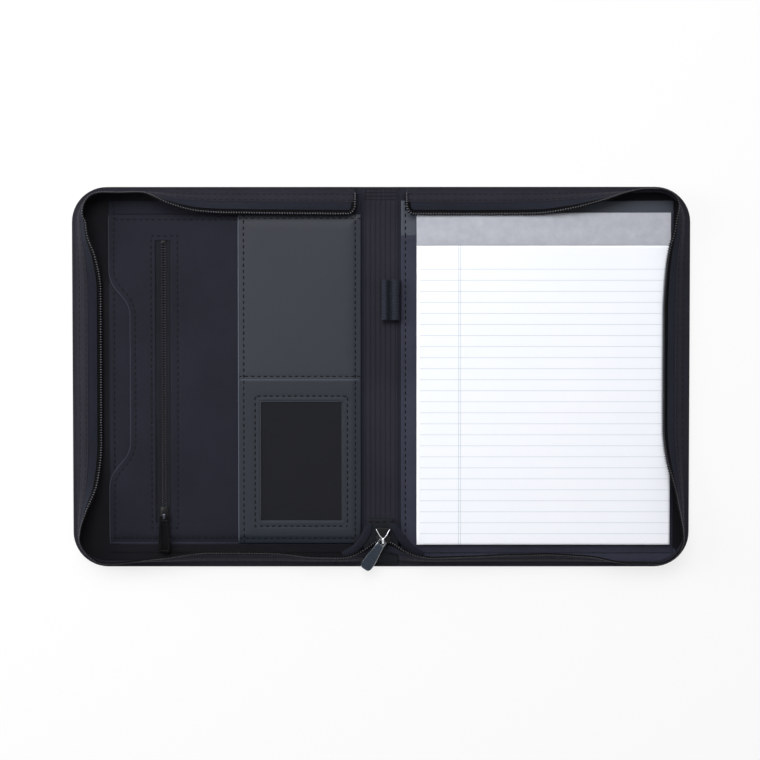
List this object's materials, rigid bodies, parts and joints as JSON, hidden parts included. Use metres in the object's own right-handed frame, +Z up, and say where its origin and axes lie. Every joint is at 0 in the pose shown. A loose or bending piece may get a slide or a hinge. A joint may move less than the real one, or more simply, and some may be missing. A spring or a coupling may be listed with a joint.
{
  "type": "zippered document folder",
  "caption": "Zippered document folder lying open, with a gusseted zip round both covers, pockets, card holder and ID window on the left, pen loop on the spine and a writing pad on the right.",
  "frame": {"origin": "middle of the spine's underside, on the table", "axes": "+X from the spine to the right cover with the pad, +Y to the top edge of the folder, +Z up out of the open face"},
  "size_m": [0.528, 0.3272, 0.0224],
  "materials": {
    "cover_cloth": "black leatherette cloth, matt",
    "lining_cloth": "dark navy woven lining",
    "gusset_cloth": "black woven nylon",
    "tape_cloth": "black herringbone zip tape",
    "coil_plastic": "black nylon coil",
    "slate_leather": "slate grey grained leatherette, satin",
    "board": "grey board",
    "window_net": "fine black mesh",
    "elastic": "black ribbed elastic",
    "dark_chrome": "gunmetal, polished",
    "black_metal": "black enamel",
    "paper": "ruled writing paper",
    "pad_binding": "mottled grey binding strip"
  },
  "bodies": {
    "spine": {"spine_outer_skin": "cover_cloth", "spine_board": "board", "spine_lining": "lining_cloth", "spine_bottom_gusset": "gusset_cloth", "zip_end_tab": "tape_cloth", "pen_loop": "elastic"},
    "left_cover": {"left_outer_skin": "cover_cloth", "left_board": "board", "left_lining": "lining_cloth", "left_gusset": "gusset_cloth", "left_gusset_fold": "gusset_cloth", "left_zip_tape": "tape_cloth", "left_zip_coil": "coil_plastic", "document_pocket_back": "lining_cloth", "document_pocket_panel": "lining_cloth", "zip_pocket_bag": "lining_cloth", "inner_zip_tape_left": "tape_cloth", "inner_zip_coil_left": "coil_plastic", "inner_zip_tape_right": "tape_cloth", "inner_zip_coil_right": "coil_plastic", "inner_top_stop": "black_metal", "card_pocket": "slate_leather", "id_window_frame": "slate_leather", "id_window_mesh": "window_net"},
    "right_cover": {"right_outer_skin": "cover_cloth", "right_board": "board", "right_lining": "lining_cloth", "right_gusset": "gusset_cloth", "right_gusset_fold": "gusset_cloth", "right_zip_tape": "tape_cloth", "right_zip_coil": "coil_plastic", "pad_band": "slate_leather", "pad_pocket_panel": "lining_cloth"},
    "pad": {"pad_cardboard": "board", "pad_sheets": "paper", "pad_header": "pad_binding"},
    "pad_top_sheet": {"top_sheet": "paper"},
    "zip_slider": {"main_slider": "dark_chrome"},
    "zip_pull": {"main_pull": "dark_chrome"},
    "pocket_slider": {"inner_slider": "black_metal"},
    "pocket_pull": {"inner_pull": "black_metal"}
  },
  "joints": [
    {"name": "left_cover_hinge", "type": "hinge", "parent": "spine", "child": "left_cover", "pos_m": [-0.0192, 0, 0.003], "axis": [0, 1, 0], "range_deg": [0, 89], "deforming": ["left_zip_tape", "left_zip_coil", "left_gusset_fold"]},
    {"name": "right_cover_hinge", "type": "hinge", "parent": "spine", "child": "right_cover", "pos_m": [0.0192, 0, 0.003], "axis": [0, -1, 0], "range_deg": [0, 89], "deforming": ["right_zip_tape", "right_zip_coil", "right_gusset_fold"]},
    {"name": "main_slider_travel", "type": "slide", "parent": "spine", "child": "zip_slider", "axis": [0, 1, 0], "range_m": [0, 0.004]},
    {"name": "main_pull_flip", "type": "hinge", "parent": "zip_slider", "child": "zip_pull", "pos_m": [0.0017, -0.1388, 0.01585], "axis": [0.8387, -0.5446, 0], "range_deg": [-150, 0]},
    {"name": "inner_slider_travel", "type": "slide", "parent": "left_cover", "child": "pocket_slider", "axis": [0, 1, 0], "range_m": [0, 0.2245], "deforming": ["inner_zip_coil_left", "inner_zip_coil_right"]},
    {"name": "inner_pull_flip", "type": "hinge", "parent": "pocket_slider", "child": "pocket_pull", "pos_m": [-0.1852, -0.119, 0.00809], "axis": [1, 0, 0], "range_deg": [-170, 0]},
    {"name": "pad_shift", "type": "slide", "parent": "right_cover", "child": "pad", "axis": [0, 1, 0], "range_m": [0, 0.006]},
    {"name": "page_turn", "type": "hinge", "parent": "pad", "child": "pad_top_sheet", "pos_m": [0.13835, 0.1122, 0.0089], "axis": [1, 0, 0], "range_deg": [-155, 0]}
  ]
}
